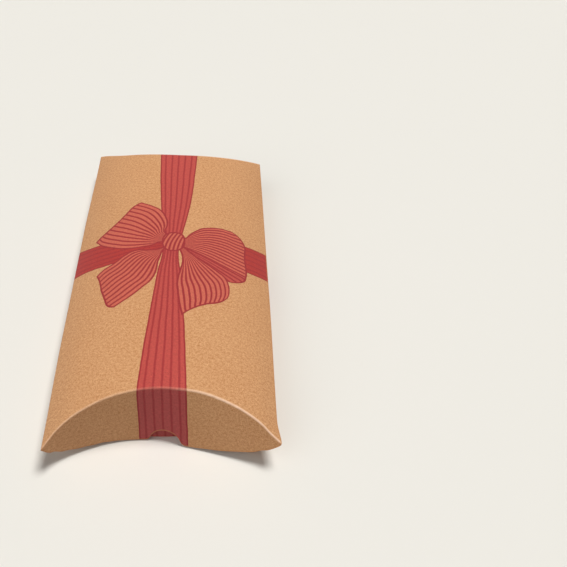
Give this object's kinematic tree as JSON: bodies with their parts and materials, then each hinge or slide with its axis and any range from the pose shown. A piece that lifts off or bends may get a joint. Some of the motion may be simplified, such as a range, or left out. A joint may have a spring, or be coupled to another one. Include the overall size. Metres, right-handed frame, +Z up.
{
  "type": "pillow box",
  "caption": "Flat-folding gift box of kraft board with two bowed panels and curved end flaps that fold in over each other, with a thumb notch at each end.",
  "frame": {"origin": "on the resting plane, under the middle of the box", "axes": "+Z up through the crown of the top panel, Y along the box with the front end at -Y, +X to the right seen from the front"},
  "size_m": [0.099, 0.2134, 0.034],
  "materials": {
    "kraft_board": "uncoated brown kraft, with a red gift-ribbon print on the outside",
    "adhesive": "dried clear-yellow carton glue"
  },
  "bodies": {
    "sleeve": {"top_panel": "kraft_board", "bottom_panel": "kraft_board", "glue_flap": "kraft_board", "glue_line": "adhesive"},
    "front_outer_flap": {"front_outer_flap": "kraft_board"},
    "front_inner_flap": {"front_inner_flap": "kraft_board"},
    "rear_outer_flap": {"rear_outer_flap": "kraft_board"},
    "rear_inner_flap": {"rear_inner_flap": "kraft_board"}
  },
  "joints": [
    {"name": "front_outer_hinge", "type": "hinge", "parent": "sleeve", "child": "front_outer_flap", "pos_m": [0, -0.09, 0.034], "axis": [-1, 0, 0], "range_deg": [0, 110]},
    {"name": "front_inner_hinge", "type": "hinge", "parent": "sleeve", "child": "front_inner_flap", "pos_m": [0, -0.08905, 0], "axis": [1, 0, 0], "range_deg": [0, 37]},
    {"name": "rear_outer_hinge", "type": "hinge", "parent": "sleeve", "child": "rear_outer_flap", "pos_m": [0, 0.09, 0.034], "axis": [1, 0, 0], "range_deg": [0, 110]},
    {"name": "rear_inner_hinge", "type": "hinge", "parent": "sleeve", "child": "rear_inner_flap", "pos_m": [0, 0.08905, 0], "axis": [-1, 0, 0], "range_deg": [0, 37]}
  ],
  "couplings": [
    {"joint": "front_inner_hinge", "follows": "front_outer_hinge", "ratio": 0.3333},
    {"joint": "rear_inner_hinge", "follows": "rear_outer_hinge", "ratio": 0.3333}
  ]
}
